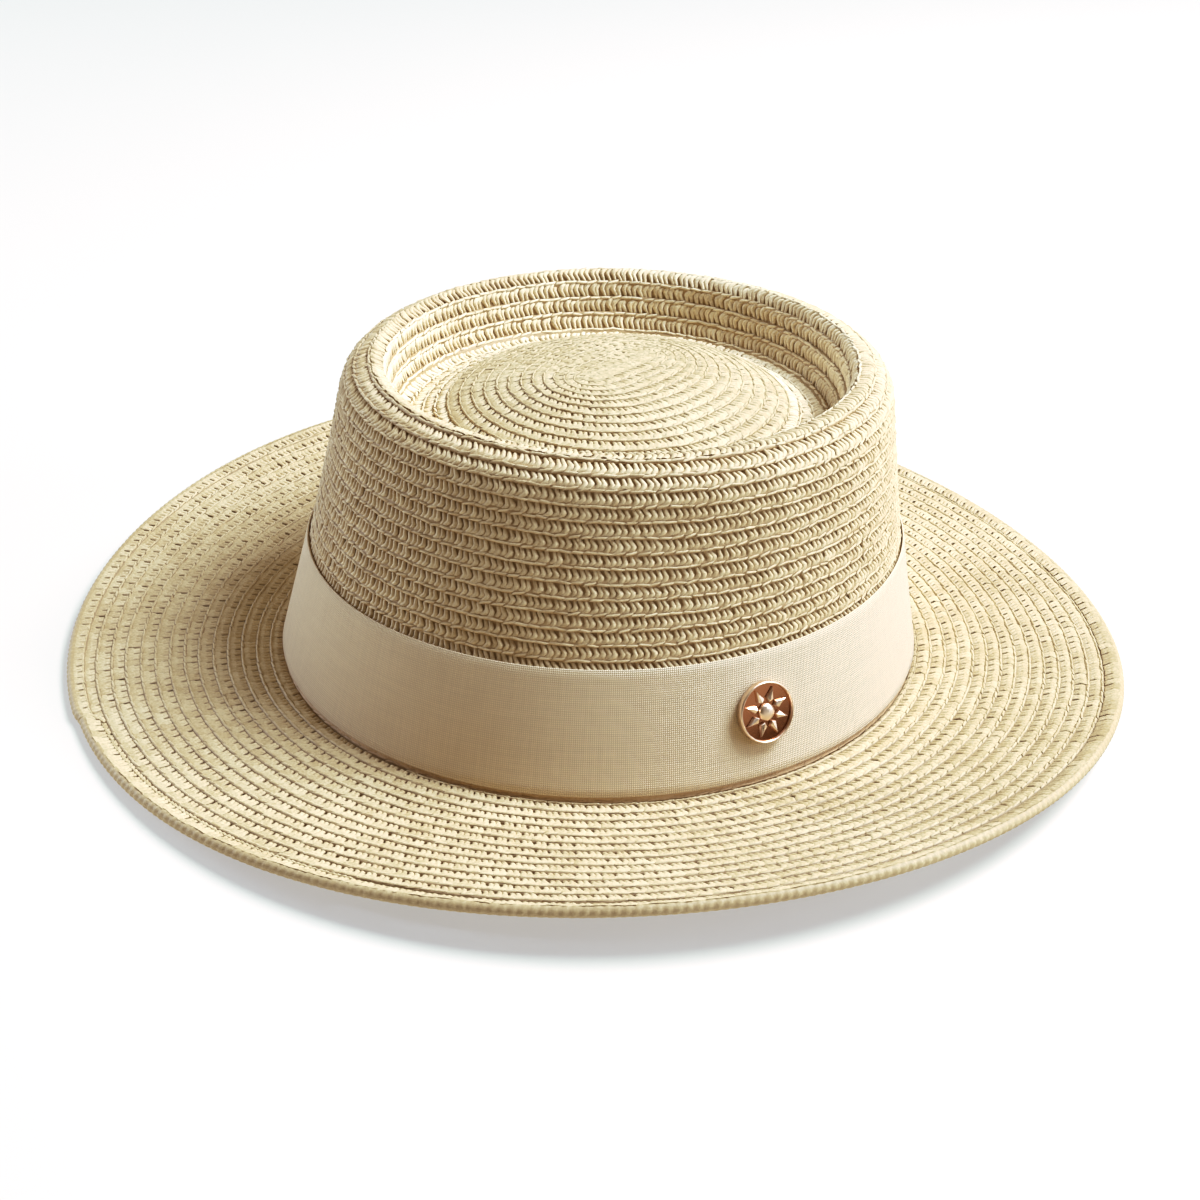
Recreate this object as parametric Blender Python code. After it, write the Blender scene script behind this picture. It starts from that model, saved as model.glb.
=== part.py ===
# Straw beach hat: crown, brim, hat band, badge and badge pin.
# Metres, +Z up. The hat rests on z = 0, its length runs along Y and its front faces -Y.
# Angles are measured from +X towards +Y.
import math
from collections import namedtuple

import bmesh
import bpy
from mathutils import Matrix, Vector

MM = 0.001
SEGMENTS = 64
GAP = 0.3 * MM                      # air kept between two pieces that touch

STRAW_THICKNESS = 2.0 * MM
EDGE_THICKNESS = 3.0 * MM           # the last braid row is doubled under
CROWN_HEIGHT = 84.8 * MM
OPENING_CENTRE = Vector((0.6, 0.4, 0.0)) * MM  # middle of the head opening, from the brim's middle
TIP_CENTRE = Vector((-4.6, 11.8, 0.0)) * MM    # the crown leans back as it rises

# Outer face of the crown from the head opening to the middle of the tip.
# Steps is the number of rings laid from this row up to the next one.
Section = namedtuple("Section", ("half_width", "half_length", "height", "steps"))
CROWN_ROWS = (                      # millimetres
    Section(91.8, 94.6, 0.0, 4),    # head opening
    Section(83.8, 88.2, 35.2, 3),   # top edge of the band
    Section(79.6, 81.6, 65.0, 1),   # upper wall
    Section(78.0, 79.2, 77.0, 1),   # shoulder
    Section(75.8, 77.2, 81.2, 1),
    Section(71.9, 73.5, 83.9, 1),   # rim
    Section(68.4, 70.0, 84.8, 1),   # crest of the rim
    Section(66.0, 67.6, 82.8, 1),
    Section(64.6, 66.2, 77.0, 1),   # channel wall
    Section(62.6, 64.2, 70.0, 1),
    Section(59.4, 61.0, 67.4, 1),   # floor of the channel
    Section(54.0, 55.6, 68.6, 2),
    Section(40.0, 41.6, 74.4, 2),   # dome of the tip
    Section(20.0, 21.0, 79.4, 2),
    Section(4.0, 4.4, 80.9, 1),
)

BRIM_RADIUS = 152.6 * MM
BRIM_ROOT_TOP = 2.1 * MM
BRIM_LIFT = 11.2 * MM               # rise of the edge where the brim curls up most
BRIM_LIFT_ANGLE = math.radians(150)  # the opposite side curls up as well
BRIM_CURL = 1.5                     # power of the rise from root to edge
BRIM_RINGS = 9
EDGE_START = 0.93                   # share of the brim's width where the edge begins to thicken
EDGE_FULL = 0.965
EDGE_SHOULDER = 0.993

BAND_THICKNESS = 0.9 * MM
BAND_BOTTOM = 2.9 * MM
BAND_TOP = 35.4 * MM
BAND_RINGS = 3
LAP_ANGLE = math.radians(135)       # middle of the lapped join, at the back
LAP_SEGMENTS = 3
LAP_EXTRA = 0.8 * MM

BADGE_ANGLE = math.radians(-20.2)
BADGE_HEIGHT = 20.2 * MM
BADGE_RADIUS = 8.3 * MM
BADGE_SIDES = 40
BADGE_CHAMFER = 0.2 * MM
BADGE_FLOOR = 1.2 * MM
BADGE_DEPTH = 2.2 * MM
BADGE_RIM_WIDTH = 1.0 * MM
RELIEF_TOP = 2.0 * MM
RAY_COUNT = 8
RAY_REACH = 6.5 * MM
RAY_WAIST = 2.9 * MM

PIN_RADIUS = 0.8 * MM
PIN_SIDES = 12
PIN_HEAD_RADIUS = 3.5 * MM
PIN_HEAD_THICKNESS = 0.8 * MM
PIN_DEPTH = 0.6 * MM                # how far the shank reaches into the badge's back
PIN_SEAT = BAND_THICKNESS + STRAW_THICKNESS + 2.0 * GAP + 0.2 * MM   # head clear of the facets


def clear_scene():
    for item in list(bpy.data.objects):
        bpy.data.objects.remove(item, do_unlink=True)


def make_material(name, colour, roughness, metallic=0.0):
    material = bpy.data.materials.new(name)
    material.use_nodes = True
    shader = material.node_tree.nodes["Principled BSDF"]
    shader.inputs["Base Color"].default_value = (*colour, 1.0)
    shader.inputs["Roughness"].default_value = roughness
    shader.inputs["Metallic"].default_value = metallic
    material.diffuse_color = (*colour, 1.0)
    return material


def make_object(name, mesh_data, material):
    mesh = bpy.data.meshes.new(name)
    bmesh.ops.recalc_face_normals(mesh_data, faces=mesh_data.faces)
    mesh_data.to_mesh(mesh)
    mesh_data.free()
    mesh.materials.append(material)
    item = bpy.data.objects.new(name, mesh)
    bpy.context.scene.collection.objects.link(item)
    return item


def angles():
    return [math.tau * index / SEGMENTS for index in range(SEGMENTS)]


def smooth_between(before, start, end, after, t):
    """Catmull-Rom value between start and end."""
    return 0.5 * (
        2.0 * start
        + (end - before) * t
        + (2.0 * before - 5.0 * start + 4.0 * end - after) * t * t
        + (3.0 * start - before - 3.0 * end + after) * t * t * t
    )


def crown_profile():
    """The crown rows with the rings between them, as (half width, half length, height) in metres."""
    rows = [Vector((row.half_width, row.half_length, row.height)) * MM for row in CROWN_ROWS]
    profile = []
    for index in range(len(rows) - 1):
        before = rows[max(index - 1, 0)]
        after = rows[min(index + 2, len(rows) - 1)]
        steps = CROWN_ROWS[index].steps
        for step in range(steps):
            profile.append(smooth_between(before, rows[index], rows[index + 1], after, step / steps))
    profile.append(rows[-1])
    return profile


def inset_profile(profile, distance):
    """The same profile, moved into the wall by a distance, with its foot kept on the table."""
    inner = []
    for index, section in enumerate(profile):
        ahead = profile[min(index + 1, len(profile) - 1)]
        behind = profile[max(index - 1, 0)]
        run = (ahead.x + ahead.y - behind.x - behind.y) / 2.0
        rise = ahead.z - behind.z
        length = math.hypot(run, rise)
        across = distance * rise / length
        down = distance * run / length
        inner.append(Vector((section.x - across, section.y - across, section.z + down)))
    inner[0].z = 0.0
    return inner


def oval_point(half_width, half_length, height, angle):
    centre = OPENING_CENTRE.lerp(TIP_CENTRE, height / CROWN_HEIGHT)
    return centre + Vector((half_width * math.cos(angle), half_length * math.sin(angle), height))


def oval_ring(mesh, half_width, half_length, height):
    return [mesh.verts.new(oval_point(half_width, half_length, height, a)) for a in angles()]


def bridge(mesh, lower, upper):
    count = len(lower)
    for index in range(count):
        following = (index + 1) % count
        mesh.faces.new((lower[index], lower[following], upper[following], upper[index]))


def fan(mesh, ring):
    centre = mesh.verts.new(sum((vertex.co for vertex in ring), Vector()) / len(ring))
    for index, vertex in enumerate(ring):
        mesh.faces.new((vertex, ring[(index + 1) % len(ring)], centre))


def wall_at(height, outward=0.0):
    """Half width and half length of the crown wall's outer face at a height."""
    profile = crown_profile()
    for low, high in zip(profile, profile[1:]):
        if low.z <= height <= high.z:
            t = (height - low.z) / (high.z - low.z)
            section = low.lerp(high, t)
            return section.x + outward, section.y + outward
    raise ValueError("no crown wall at this height")


def build_crown(material):
    mesh = bmesh.new()
    outer_profile = crown_profile()
    inner_profile = inset_profile(outer_profile, STRAW_THICKNESS)
    outer = [oval_ring(mesh, *section) for section in outer_profile]
    inner = [oval_ring(mesh, *section) for section in inner_profile]
    for rings in (outer, inner):
        for low, high in zip(rings, rings[1:]):
            bridge(mesh, low, high)
        fan(mesh, rings[-1])
    bridge(mesh, inner[0], outer[0])
    return make_object("crown", mesh, material)


def brim_edge_height(angle):
    """Middle height of the rolled edge: flat on the table at two sides, lifted at the others."""
    curl = 0.5 + 0.5 * math.cos(2.0 * (angle - BRIM_LIFT_ANGLE))
    return EDGE_THICKNESS / 2.0 + BRIM_LIFT * curl


def brim_point(angle, reach, level):
    """A point of the brim: reach 0 at the root and 1 at the edge, level 0 below and 1 on top."""
    root = oval_point(*wall_at(0.0, GAP), 0.0, angle)
    edge = Vector((math.cos(angle), math.sin(angle), 0.0)) * BRIM_RADIUS
    flat = root.lerp(edge, reach)
    root_middle = BRIM_ROOT_TOP - STRAW_THICKNESS / 2.0
    rise = (brim_edge_height(angle) - root_middle) * reach ** BRIM_CURL
    swell = min(max((reach - EDGE_START) / (EDGE_FULL - EDGE_START), 0.0), 1.0)
    thickness = STRAW_THICKNESS + (EDGE_THICKNESS - STRAW_THICKNESS) * swell
    flat.z = root_middle + rise + (level - 0.5) * thickness
    return flat


def build_brim(material):
    mesh = bmesh.new()
    reaches = [step / BRIM_RINGS for step in range(BRIM_RINGS)] + [EDGE_FULL, EDGE_SHOULDER]
    top = [[mesh.verts.new(brim_point(a, reach, 1.0)) for a in angles()] for reach in reaches]
    bottom = [[mesh.verts.new(brim_point(a, reach, 0.0)) for a in angles()] for reach in reaches]
    nose = [[mesh.verts.new(brim_point(a, 1.0, level)) for a in angles()] for level in (0.25, 0.75)]
    for rings in (top, bottom):
        for low, high in zip(rings, rings[1:]):
            bridge(mesh, low, high)
    bridge(mesh, bottom[0], top[0])
    bridge(mesh, bottom[-1], nose[0])
    bridge(mesh, nose[0], nose[1])
    bridge(mesh, nose[1], top[-1])
    return make_object("brim", mesh, material)


def band_point(angle, height, outward):
    half_width, half_length = wall_at(height, GAP + outward)
    return oval_point(half_width, half_length, height, angle)


def lap_extra(index):
    """Extra thickness where the end of the band laps over its start."""
    middle = round(LAP_ANGLE / math.tau * SEGMENTS)
    return LAP_EXTRA if abs(index - middle) <= LAP_SEGMENTS else 0.0


def build_band(material):
    mesh = bmesh.new()
    heights = [BAND_BOTTOM + (BAND_TOP - BAND_BOTTOM) * n / BAND_RINGS for n in range(BAND_RINGS + 1)]
    inner = []
    outer = []
    for height in heights:
        inner.append([mesh.verts.new(band_point(a, height, 0.0)) for a in angles()])
        outer.append([
            mesh.verts.new(band_point(a, height, BAND_THICKNESS + lap_extra(index)))
            for index, a in enumerate(angles())
        ])
    for rings in (inner, outer):
        for low, high in zip(rings, rings[1:]):
            bridge(mesh, low, high)
    bridge(mesh, inner[0], outer[0])
    bridge(mesh, inner[-1], outer[-1])
    return make_object("hat_band", mesh, material)


def badge_frame():
    """Matrix whose origin is on the band's outer face and whose Z points away from the hat."""
    step = 0.01
    here = band_point(BADGE_ANGLE, BADGE_HEIGHT, BAND_THICKNESS)
    along = band_point(BADGE_ANGLE + step, BADGE_HEIGHT, BAND_THICKNESS) - here
    up = band_point(BADGE_ANGLE, BADGE_HEIGHT + MM, BAND_THICKNESS) - here
    outward = along.cross(up).normalized()
    up = outward.cross(along).normalized()
    along = up.cross(outward)
    frame = Matrix((along, up, outward)).transposed().to_4x4()
    frame.translation = here
    return frame


def disc_ring(mesh, radius, height, sides):
    turns = [math.tau * index / sides for index in range(sides)]
    return [mesh.verts.new((radius * math.cos(t), radius * math.sin(t), height)) for t in turns]


def turned_solid(mesh, outline, sides):
    """A closed solid of revolution from (radius, height) pairs, flat at both ends."""
    rings = [disc_ring(mesh, radius, height, sides) for radius, height in outline]
    for low, high in zip(rings, rings[1:]):
        bridge(mesh, low, high)
    mesh.faces.new(rings[0])
    mesh.faces.new(rings[-1])


def sun_prism(mesh, bottom, top):
    """Tapering rays around a boss, as one prism."""
    rings = []
    for height in (bottom, top):
        ring = []
        for index in range(2 * RAY_COUNT):
            radius = RAY_REACH if index % 2 == 0 else RAY_WAIST
            turn = math.pi * index / RAY_COUNT
            ring.append(mesh.verts.new((radius * math.cos(turn), radius * math.sin(turn), height)))
        rings.append(ring)
    bridge(mesh, rings[0], rings[1])
    mesh.faces.new(rings[0])
    mesh.faces.new(rings[1])


def make_tool(name, mesh_data, material):
    """An object that only cuts or joins another one."""
    tool = make_object(name, mesh_data, material)
    tool.hide_render = True
    tool.display_type = "WIRE"
    return tool


def apply_tool(item, tool, operation):
    boolean = item.modifiers.new(tool.name, "BOOLEAN")
    boolean.object = tool
    boolean.operation = operation


def build_badge(material, frame):
    """A struck badge: floor, raised rim and a plain sun."""
    mesh = bmesh.new()
    inner_radius = BADGE_RADIUS - BADGE_RIM_WIDTH
    outline = (
        (BADGE_RADIUS - BADGE_CHAMFER, GAP),
        (BADGE_RADIUS, GAP + BADGE_CHAMFER),
        (BADGE_RADIUS, GAP + BADGE_DEPTH - BADGE_CHAMFER),
        (BADGE_RADIUS - BADGE_CHAMFER, GAP + BADGE_DEPTH),
        (inner_radius + BADGE_CHAMFER, GAP + BADGE_DEPTH),
        (inner_radius, GAP + BADGE_FLOOR),
    )
    turned_solid(mesh, outline, BADGE_SIDES)
    badge = make_object("badge", mesh, material)
    badge.matrix_world = frame
    relief = bmesh.new()
    sun_prism(relief, GAP + BADGE_FLOOR / 2.0, GAP + RELIEF_TOP)
    sun = make_tool("sun_tool", relief, material)
    sun.matrix_world = frame
    apply_tool(badge, sun, "UNION")
    return badge


def build_pin(material, frame):
    """The plain pin behind the badge: a flat head inside the crown and a round shank."""
    mesh = bmesh.new()
    outline = (
        (PIN_HEAD_RADIUS, -PIN_SEAT - PIN_HEAD_THICKNESS),
        (PIN_HEAD_RADIUS, -PIN_SEAT),
        (PIN_RADIUS, -PIN_SEAT),
        (PIN_RADIUS, GAP + PIN_DEPTH),
    )
    turned_solid(mesh, outline, PIN_SIDES)
    pin = make_object("badge_pin", mesh, material)
    pin.matrix_world = frame
    return pin


def drill_for_pin(items, material, frame):
    """One hole through the crown and the band and into the badge's back."""
    mesh = bmesh.new()
    radius = PIN_RADIUS + GAP
    turned_solid(mesh, ((radius, -2.0 * PIN_SEAT), (radius, 2.0 * GAP + PIN_DEPTH)), PIN_SIDES)
    drill = make_tool("drill_tool", mesh, material)
    drill.matrix_world = frame
    for item in items:
        apply_tool(item, drill, "DIFFERENCE")


def main():
    clear_scene()
    straw = make_material("straw", (0.78, 0.66, 0.45), 0.75)
    brim_straw = make_material("brim_straw", (0.8, 0.69, 0.49), 0.75)
    ribbon = make_material("ribbon", (0.78, 0.69, 0.57), 0.6)
    rose_gold = make_material("rose_gold", (0.83, 0.58, 0.42), 0.25, 1.0)
    steel = make_material("pin_steel", (0.6, 0.6, 0.6), 0.4, 1.0)
    frame = badge_frame()
    crown = build_crown(straw)
    build_brim(brim_straw)
    band = build_band(ribbon)
    badge = build_badge(rose_gold, frame)
    build_pin(steel, frame)
    drill_for_pin((crown, band, badge), steel, frame)


main()
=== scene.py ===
# Straw beach hat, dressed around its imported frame.
# Metres, +Z up. The hat rests on z = 0 and its front faces -Y. Turns are measured from +X towards +Y.
import math

import bpy
from mathutils import Matrix, Vector


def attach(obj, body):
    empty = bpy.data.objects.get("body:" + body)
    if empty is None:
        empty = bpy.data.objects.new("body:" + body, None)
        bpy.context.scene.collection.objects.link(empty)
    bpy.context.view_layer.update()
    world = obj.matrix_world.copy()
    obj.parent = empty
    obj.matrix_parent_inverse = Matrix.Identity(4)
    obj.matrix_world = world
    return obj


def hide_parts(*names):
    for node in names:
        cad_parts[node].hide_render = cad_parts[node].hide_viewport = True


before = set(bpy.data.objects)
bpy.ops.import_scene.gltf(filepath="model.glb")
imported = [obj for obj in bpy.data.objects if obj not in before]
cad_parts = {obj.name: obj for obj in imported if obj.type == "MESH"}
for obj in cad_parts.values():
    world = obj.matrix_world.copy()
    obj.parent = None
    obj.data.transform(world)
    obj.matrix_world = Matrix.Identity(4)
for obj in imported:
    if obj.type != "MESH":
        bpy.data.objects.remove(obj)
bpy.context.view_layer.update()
print("frame loaded:", ", ".join(sorted(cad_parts)))

mm = 0.001
fullTurn = 2.0 * math.pi


# Crown surface, from the tip down to the head opening
crownShape = {
    "height": 84.8 * mm,
    "openingCentre": Vector((0.6, 0.4, 0.0)) * mm,
    "tipCentre": Vector((-4.6, 11.8, 0.0)) * mm,  # the crown leans back
    "thickness": 2.0 * mm,
    "loopLength": 12.5 * mm,  # half length of the first, straight piece of braid
    "loopReach": 60.0 * mm,  # from the tip to where the rows are plain ovals
    "loopFade": 1.6,
    "loopSharp": 9.0,  # how straight the long sides of the first rows are
    "rows": (  # half width, half length, height
        (0.0, 0.0, 81.2),
        (4.0, 4.4, 80.9),
        (20.0, 21.0, 79.4),
        (40.0, 41.6, 74.4),
        (54.0, 55.6, 68.6),
        (59.4, 61.0, 67.4),
        (62.6, 64.2, 70.0),
        (64.6, 66.2, 77.0),
        (66.0, 67.6, 82.8),
        (68.4, 70.0, 84.8),
        (71.9, 73.5, 83.9),
        (75.8, 77.2, 81.2),
        (78.0, 79.2, 77.0),
        (79.6, 81.6, 65.0),
        (83.8, 88.2, 35.2),
        (91.8, 94.6, 0.0),
    ),
}

brimShape = {
    "radius": 152.6 * mm,
    "rootTop": 2.1 * mm,
    "rootGap": 0.3 * mm,  # between the crown's foot and the brim
    "lift": 11.2 * mm,
    "liftTurn": math.radians(150.0),
    "curl": 1.5,
    "thickness": 2.0 * mm,
    "edgeThickness": 3.0 * mm,
    "edgeStart": 0.93,
    "edgeFull": 0.965,
    "width": 60.0 * mm,
}


def smoothBetween(before, start, end, after, t):  # from start to end, slopes taken from their neighbours
    return 0.5 * (
        2.0 * start
        + (end - before) * t
        + (2.0 * before - 5.0 * start + 4.0 * end - after) * t * t
        + (3.0 * start - before - 3.0 * end + after) * t * t * t
    )


def crownCurve(steps=14):
    rows = [Vector(row) * mm for row in crownShape["rows"]]
    curve = []
    for index in range(len(rows) - 1):
        before = rows[max(index - 1, 0)]
        after = rows[min(index + 2, len(rows) - 1)]
        for step in range(steps):
            curve.append(smoothBetween(before, rows[index], rows[index + 1], after, step / steps))
    curve.append(rows[-1])
    runs = [0.0]
    for low, high in zip(curve, curve[1:]):
        across = ((high.x - low.x) + (high.y - low.y)) / 2.0
        runs.append(runs[-1] + math.hypot(across, high.z - low.z))
    return curve, runs


def evenTable(curve, runs, step=0.25 * mm):
    table = []
    index = 0
    count = int(runs[-1] / step)
    for number in range(count + 1):
        run = number * step
        while index < len(runs) - 2 and runs[index + 1] < run:
            index += 1
        share = (run - runs[index]) / (runs[index + 1] - runs[index])
        table.append(curve[index].lerp(curve[index + 1], min(max(share, 0.0), 1.0)))
    return table, step


crownLine, crownStep = evenTable(*crownCurve())
crownRun = (len(crownLine) - 1) * crownStep


def crownSection(run):
    place = min(max(run / crownStep, 0.0), len(crownLine) - 1.001)  # just short of the last point
    index = int(place)
    return crownLine[index].lerp(crownLine[index + 1], place - index)


def wallRun(height):  # distance from the tip to a height on the outer wall
    for index in range(len(crownLine) - 1, 0, -1):
        if crownLine[index].z >= height:
            return index * crownStep
    return 0.0


def wallSection(height):
    for index in range(len(crownLine) - 1, 0, -1):
        low, high = crownLine[index], crownLine[index - 1]
        if low.z <= height <= high.z:
            return low.lerp(high, (height - low.z) / max(high.z - low.z, 1e-9))
    return crownLine[-1]


def openingLean(height):  # middle of the crown at a height
    return crownShape["openingCentre"].lerp(crownShape["tipCentre"], height / crownShape["height"])


def wallPoint(turn, height, outward):  # a place on the crown's wall, moved outwards
    section = wallSection(height)
    across = (section.x + outward) * math.cos(turn)
    along = (section.y + outward) * math.sin(turn)
    return openingLean(height) + Vector((across, along, height))


def crownPoint(run, turn):
    section = crownSection(run)
    fade = max(0.0, 1.0 - run / crownShape["loopReach"]) ** crownShape["loopFade"]
    sharp = crownShape["loopSharp"]
    side = math.sin(turn)
    square = side * math.sqrt((1.0 + sharp) / (1.0 + sharp * side * side))  # nearly a square wave
    x = section.x * math.cos(turn)
    y = section.y * side + crownShape["loopLength"] * fade * square
    return openingLean(section.z) + Vector((x, y, section.z))


def roundWay(turn):
    return Vector((math.cos(turn), math.sin(turn), 0.0))


def brimEdgeHeight(turn):
    rise = 0.5 + 0.5 * math.cos(2.0 * (turn - brimShape["liftTurn"]))
    return brimShape["edgeThickness"] / 2.0 + brimShape["lift"] * rise


crownFoot = crownSection(crownRun)


def brimSheet(reach, turn, level):  # reach 0 at the root and 1 at the edge, level 0 below and 1 on top
    width = crownFoot.x + brimShape["rootGap"]
    length = crownFoot.y + brimShape["rootGap"]
    root = crownShape["openingCentre"] + Vector((width * math.cos(turn), length * math.sin(turn), 0.0))
    place = root.lerp(roundWay(turn) * brimShape["radius"], reach)
    rootMiddle = brimShape["rootTop"] - brimShape["thickness"] / 2.0
    rise = (brimEdgeHeight(turn) - rootMiddle) * max(reach, 0.0) ** brimShape["curl"]
    swell = (reach - brimShape["edgeStart"]) / (brimShape["edgeFull"] - brimShape["edgeStart"])
    swell = min(max(swell, 0.0), 1.0)
    thickness = brimShape["thickness"]
    thickness += (brimShape["edgeThickness"] - thickness) * swell
    place.z = rootMiddle + rise + (level - 0.5) * thickness
    return place


def brimTop(run, turn):
    return brimSheet(run / brimShape["width"], turn, 1.0)


def brimBelow(run, turn):
    return brimSheet(run / brimShape["width"], turn, 0.0)


def surfaceFrame(surface, run, turn):  # place, outward normal and length per radian
    around = 0.01
    along = 0.4 * mm
    ahead = surface(run, turn + around) - surface(run, turn - around)
    outer = surface(run + along, turn) - surface(max(run - along, 0.0), turn)
    normal = outer.cross(ahead)
    if normal.length < 1e-12:
        normal = Vector((0.0, 0.0, 1.0))
    return surface(run, turn), normal.normalized(), ahead.length / (2.0 * around)


# Rows of braid: one long spiral on the crown and one on the brim
def rowEdges(groups):  # groups of (count, width in mm)
    edges = [0.0]
    for count, width in groups:
        for number in range(count):
            edges.append(edges[-1] + width * mm)
    return edges


braid = {
    "crownStart": math.radians(130.0),
    "crownFirst": -0.85,  # the rows begin this far before their first whole turn
    "crownRows": rowEdges(((1, 1.8), (5, 3.6), (6, 4.1), (4, 4.05), (5, 4.72), (1, 4.8), (25, 3.86))),
    "brimStart": math.radians(244.0),
    "brimFirst": -0.9,
    "brimRows": rowEdges(((16, 4.15),)),
    "brimTurns": 13.12,  # the spiral ends under the last row
    "bandTop": 33.0 * mm,  # the wall carries no strands below this height, under the ribbon
    "edgeInner": (55.0 * mm, 57.2 * mm),  # inner edge of the last row at its start and end
    "edgeOuter": (60.6 * mm, 61.5 * mm),  # the end sticks out a little
    "edgeClose": 0.005,  # share of a turn in which that end closes
    "edgeTurns": 0.9999,  # the inner edge stays short of a whole turn, where it would start again
    "tuck": 0.5 * mm,  # how far the other rows reach under the last one
    "edgeLift": 0.3 * mm,
    "edgeBend": (1.5 * mm, 1.3 * mm),  # the part of the last row that bends over the edge, and its radius
    "welt": (4.4 * mm, 2.6 * mm, 0.35 * mm),  # the row at the crown's foot: top, width, how far out
    "baseStep": 3.6 * mm,
    "innerStep": 4.6 * mm,
    "pathStep": 1.3 * mm,
    "widestStep": 0.16,  # radians
    "tightest": 2.0 * mm,
    "leastRun": 0.05 * mm,
    "pathStart": 0.4 * mm,
    "floorGap": 0.05 * mm,
    "rowWidth": 4.2 * mm,  # the row that the strands are drawn for
    "uvScale": 100.0,
    "wander": 0.07 * mm,
    "wanderWaves": ((1.0, 21.3, 0.6), (0.8, 47.0, 2.1), (0.6, 95.0, 0.0)),  # size, rate, shift
    "pairing": {"hooked": 0.16 * mm, "single": 0.2 * mm, "double": 0.0},
    "strandSpacing": {"hooked": 1.66 * mm, "single": 1.66 * mm, "double": 3.32 * mm},
    "sizeVariation": 0.10,
    "turnVariation": {"hooked": 0.20, "single": 0.12, "double": 0.09},
    "placeVariation": {"hooked": 0.18 * mm, "single": 0.14 * mm, "double": 0.12 * mm},
    "segmentSpacing": 3.32 * mm,
    "strip": (  # share across the row and height over the sheet, for the strip under the strands; the strip has no unshaded share, so the gaps and the dark line between rows show the painted shade colour
        (-0.12, -0.85),
        (0.08, -0.78),
        (0.48, -0.55),
        (0.70, -0.05),
        (0.94, 0.08),
        (1.0, -0.25),
        (0.98, -0.9),
    ),
    "strandLine": (0.37, -0.26),  # where the strands lie: share across the row and height in mm
    "segmentLine": (0.87, 0.12),  # where the smooth segments lie
}


def edgeRun(edges, turns):
    place = min(max(turns, 0.0), len(edges) - 1.0001)  # just short of the last edge
    index = int(place)
    return edges[index] + (edges[index + 1] - edges[index]) * (place - index)


def wander(turns):  # hand-sewn rows are never quite even
    swing = 0.0
    for size, rate, shift in braid["wanderWaves"]:
        swing += size * math.sin(turns * rate + shift)
    return braid["wander"] * swing * min(max(turns, 0.0), 1.0)


def spiralRows(edges, cover=None):  # inner and outer edge of the row at a number of turns
    def rows(turns):
        inner = edgeRun(edges, turns) + wander(turns)
        outer = edgeRun(edges, turns + 1.0) + wander(turns + 1.0)
        return inner, min(outer, cover(turns) + braid["tuck"]) if cover else outer

    return rows


def edgeInner(turns):
    start, end = braid["edgeInner"]
    return start + (end - start) * (turns % 1.0)


def edgeRows(turns):
    start, end = braid["edgeOuter"]
    close = min(1.0, (1.0 - turns) / braid["edgeClose"])
    return edgeInner(min(turns, braid["edgeTurns"])), start + (end - start) * turns * close


crownSpiral = spiralRows(braid["crownRows"])
brimSpiral = spiralRows(braid["brimRows"], edgeInner)

# A way is what a braid follows: its surface, its rows and the turn that it starts at
crownWay = (crownPoint, crownSpiral, braid["crownStart"])
brimWay = (brimTop, brimSpiral, braid["brimStart"])


def rowStations(way, first, last, step):  # turns along the spiral, and the angle there
    surface, rows, startTurn = way
    stations = []
    turns = first
    while turns < last:
        stations.append(turns)
        inner, outer = rows(turns)
        reach = surfaceFrame(surface, (inner + outer) / 2.0, startTurn + fullTurn * turns)[2]
        turns += min(step / max(reach, braid["tightest"]), braid["widestStep"]) / fullTurn
    stations.append(last)
    return [(number, startTurn + fullTurn * number) for number in stations]


def addObject(name, data):
    item = bpy.data.objects.new(name, data)
    bpy.context.scene.collection.objects.link(item)
    return item


def smoothMesh(name, points, faces, uvName=None, uvs=()):
    mesh = bpy.data.meshes.new(name)
    mesh.from_pydata(points, [], faces)
    if uvName:
        layer = mesh.uv_layers.new(name=uvName)
        for index, pair in enumerate(uvs):
            layer.data[index].uv = pair
    mesh.polygons.foreach_set("use_smooth", [True] * len(mesh.polygons))
    mesh.update()
    return mesh


def markPoints(mesh, name, values):
    mesh.attributes.new(name, "FLOAT", "POINT").data.foreach_set("value", values)


def braidStrip(name, way, first, last, step, side=1.0, relief=1.0):
    surface, rows, startTurn = way
    profile = braid["strip"]
    stations = rowStations(way, first, last, step)
    points = []
    marks = []
    runLength = 0.0
    previous = None
    for turns, angle in stations:
        inner, outer = rows(turns)
        for share, height in profile:
            run = max(inner + (outer - inner) * share, braid["leastRun"])
            place, normal, reach = surfaceFrame(surface, run, angle)
            point = place + normal * (height * relief * mm * side)
            point.z = max(point.z, braid["floorGap"])
            points.append(point)
        middle = points[-4]
        if previous is not None:
            runLength += (middle - previous).length
        previous = middle
        marks.append(runLength)
    count = len(profile)
    faces = []
    uvs = []
    for index in range(len(stations) - 1):
        for row in range(count - 1):
            a = index * count + row
            corners = [a, a + 1, a + 1 + count, a + count]
            shares = [profile[row][0], profile[row + 1][0], profile[row + 1][0], profile[row][0]]
            lengths = [marks[index], marks[index], marks[index + 1], marks[index + 1]]
            pairs = [(length * braid["uvScale"], share) for length, share in zip(lengths, shares)]
            if side < 0.0:
                corners.reverse()
                pairs.reverse()
            faces.append(corners)
            uvs.extend(pairs)
    return addObject(name, smoothMesh(name, points, faces, "braidUV", uvs))


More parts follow.
